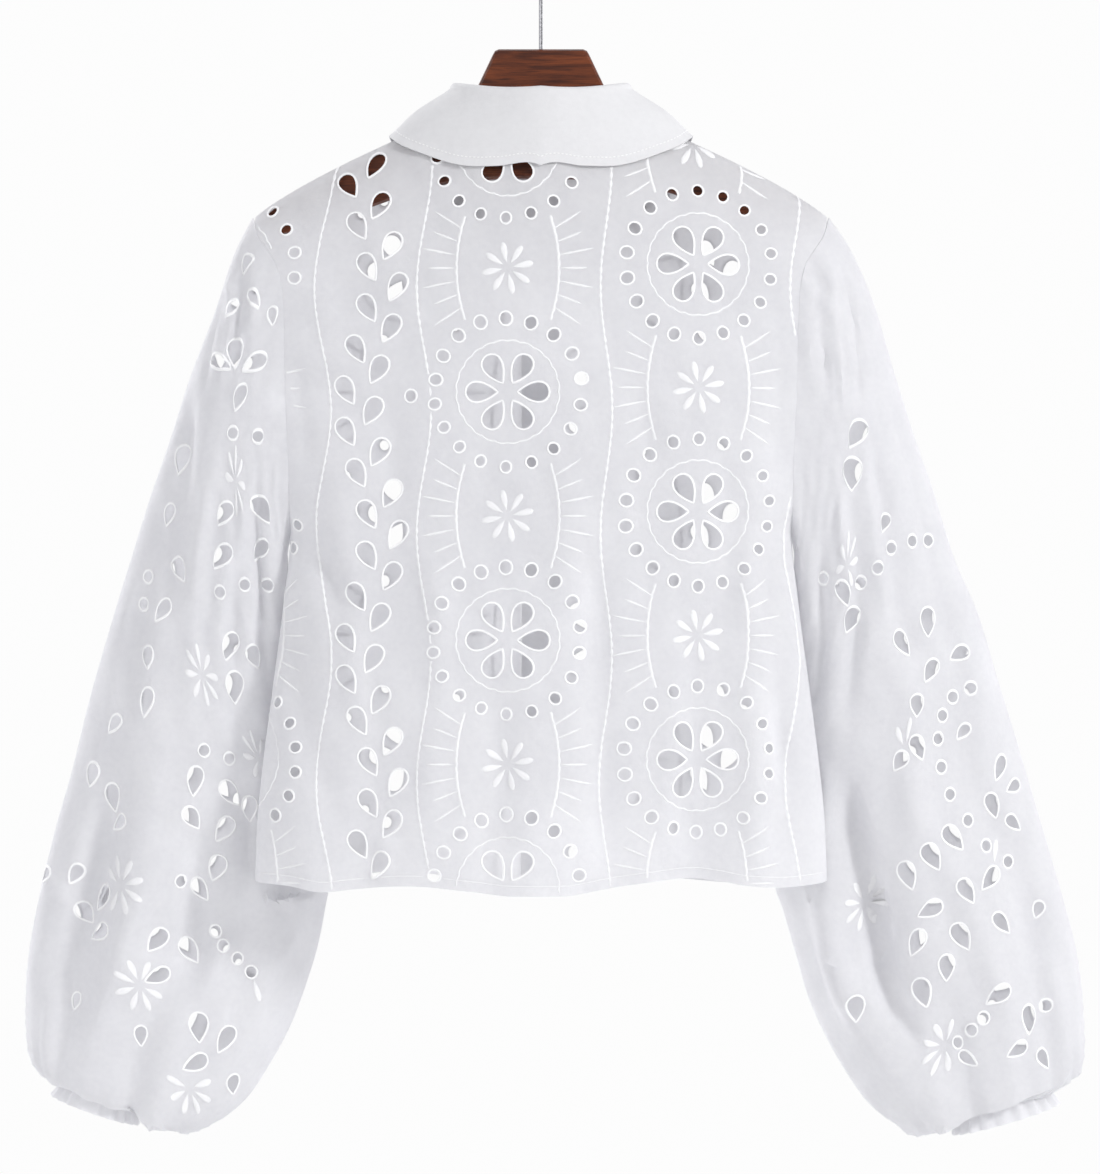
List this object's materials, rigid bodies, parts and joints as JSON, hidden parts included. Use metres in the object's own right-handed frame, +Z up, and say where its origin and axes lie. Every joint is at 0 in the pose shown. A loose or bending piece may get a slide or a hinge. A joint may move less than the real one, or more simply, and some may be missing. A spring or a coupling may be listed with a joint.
{
  "type": "lace blouse on a wooden hanger",
  "caption": "Cropped eyelet-lace blouse with a folded collar, full gathered sleeves and a buttoned front, hanging on a shaped wooden hanger.",
  "frame": {"origin": "the point on the inside of the hook's top where the hook rests on its rail", "axes": "+Z up, +X to the wearer's left, +Y to the garment's back; the buttoned front faces -Y"},
  "size_m": [0.7527, 0.1573, 0.8662],
  "materials": {
    "cotton": "matt woven cotton with embroidered eyelets",
    "shell": "soft gloss",
    "wood": "stained and lacquered",
    "steel": "bright wire"
  },
  "bodies": {
    "root": {"back": "cotton", "front_left": "cotton", "front_right": "cotton", "placket_outer": "cotton", "placket_under": "cotton", "sleeve_left_back": "cotton", "sleeve_left_front": "cotton", "sleeve_right_back": "cotton", "sleeve_right_front": "cotton", "cuff_left": "cotton", "cuff_right": "cotton", "collar_stand": "cotton", "collar_leaf": "cotton", "button_1": "shell", "button_2": "shell", "button_3": "shell", "button_4": "shell", "button_5": "shell", "button_6": "shell", "button_collar": "shell", "hanger": "wood", "hanger_hook": "steel"}
  },
  "joints": []
}
